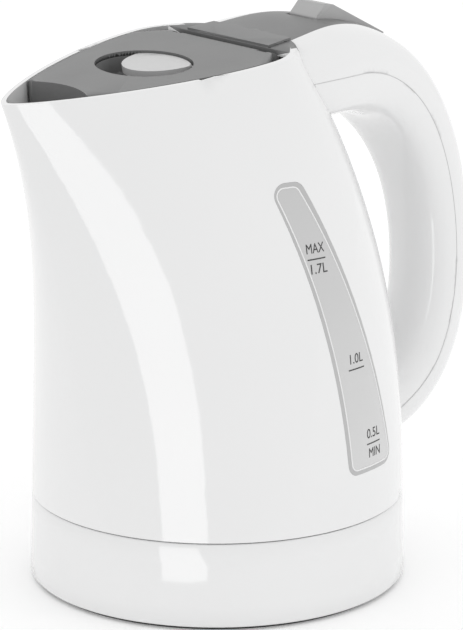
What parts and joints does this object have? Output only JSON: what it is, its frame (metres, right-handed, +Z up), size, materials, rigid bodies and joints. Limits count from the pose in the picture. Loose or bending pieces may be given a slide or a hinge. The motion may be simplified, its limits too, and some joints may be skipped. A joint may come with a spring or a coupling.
{
  "type": "electric kettle",
  "caption": "Cordless electric kettle with a pouring spout, hinged lid with pull tab, loop handle with switch lever, side water gauge and a round power base it lifts off.",
  "frame": {"origin": "on the power base's axis, in the plane of its foot ring", "axes": "+Z up, +X from the spout towards the handle, +Y to the far side from the water gauge"},
  "size_m": [0.2223, 0.148, 0.2222],
  "materials": {
    "white_plastic": "gloss moulded",
    "grey_plastic": "satin moulded",
    "silver_plastic": "satin silver",
    "switch_plastic": "satin moulded",
    "clear_plastic": "frosted clear",
    "frame_plastic": "satin moulded",
    "dark_plastic": "moulded",
    "liner_plastic": "moulded",
    "steel": "brushed",
    "aluminium": "cast",
    "brass": "bright",
    "rubber": "moulded",
    "silicone": "moulded"
  },
  "bodies": {
    "power_base": {"base_shell": "white_plastic", "base_bottom_plate": "dark_plastic", "base_foot_ring": "rubber", "base_screws": "steel", "base_connector": "dark_plastic", "connector_contacts": "brass"},
    "kettle": {"body_shell": "white_plastic", "gauge_frame": "frame_plastic", "gauge_window": "clear_plastic", "rear_cover": "grey_plastic", "handle_inner": "white_plastic", "handle_outer": "white_plastic", "heater_seal": "silicone", "heater_plate": "steel", "heat_spreader": "aluminium", "heating_element": "aluminium", "lower_housing": "white_plastic", "housing_screws": "steel", "control_unit": "dark_plastic", "control_contacts": "brass", "cutout_discs": "brass", "filter_frame": "liner_plastic", "filter_mesh": "steel", "lid_hinge_pin": "steel", "switch_pin": "steel", "steam_switch": "dark_plastic", "steam_disc": "brass"},
    "lid": {"lid_cover": "grey_plastic", "lid_liner": "liner_plastic", "lid_screws": "steel", "finger_well": "grey_plastic", "tab_pin": "steel"},
    "lid_tab": {"lid_tab": "silver_plastic"},
    "latch_left": {"latch_bolt_left": "liner_plastic"},
    "latch_right": {"latch_bolt_right": "liner_plastic"},
    "switch_lever": {"switch_lever": "switch_plastic"}
  },
  "joints": [
    {"name": "kettle_lift", "type": "slide", "parent": "power_base", "child": "kettle", "axis": [0, 0, 1], "range_m": [0, 0.08]},
    {"name": "lid_hinge", "type": "hinge", "parent": "kettle", "child": "lid", "pos_m": [0.00101, 0, 0.20739], "axis": [0, 1, 0], "range_deg": [0, 80]},
    {"name": "lid_tab_hinge", "type": "hinge", "parent": "lid", "child": "lid_tab", "pos_m": [-0.02249, 0, 0.20592], "axis": [0, 1, 0], "range_deg": [0, 20], "stiffness_Nm_per_rad": 0.03},
    {"name": "latch_left_slide", "type": "slide", "parent": "lid", "child": "latch_left", "axis": [0, 1, 0], "range_m": [0, 0.0022]},
    {"name": "latch_right_slide", "type": "slide", "parent": "lid", "child": "latch_right", "axis": [0, -1, 0], "range_m": [0, 0.0022]},
    {"name": "switch_press", "type": "hinge", "parent": "kettle", "child": "switch_lever", "pos_m": [0.06, 0, 0.2055], "axis": [0, -1, 0], "range_deg": [0, 7], "stiffness_Nm_per_rad": 0.08}
  ],
  "couplings": [
    {"joint": "latch_left_slide", "follows": "lid_tab_hinge", "m_per_rad": 0.006},
    {"joint": "latch_right_slide", "follows": "lid_tab_hinge", "m_per_rad": 0.006}
  ]
}
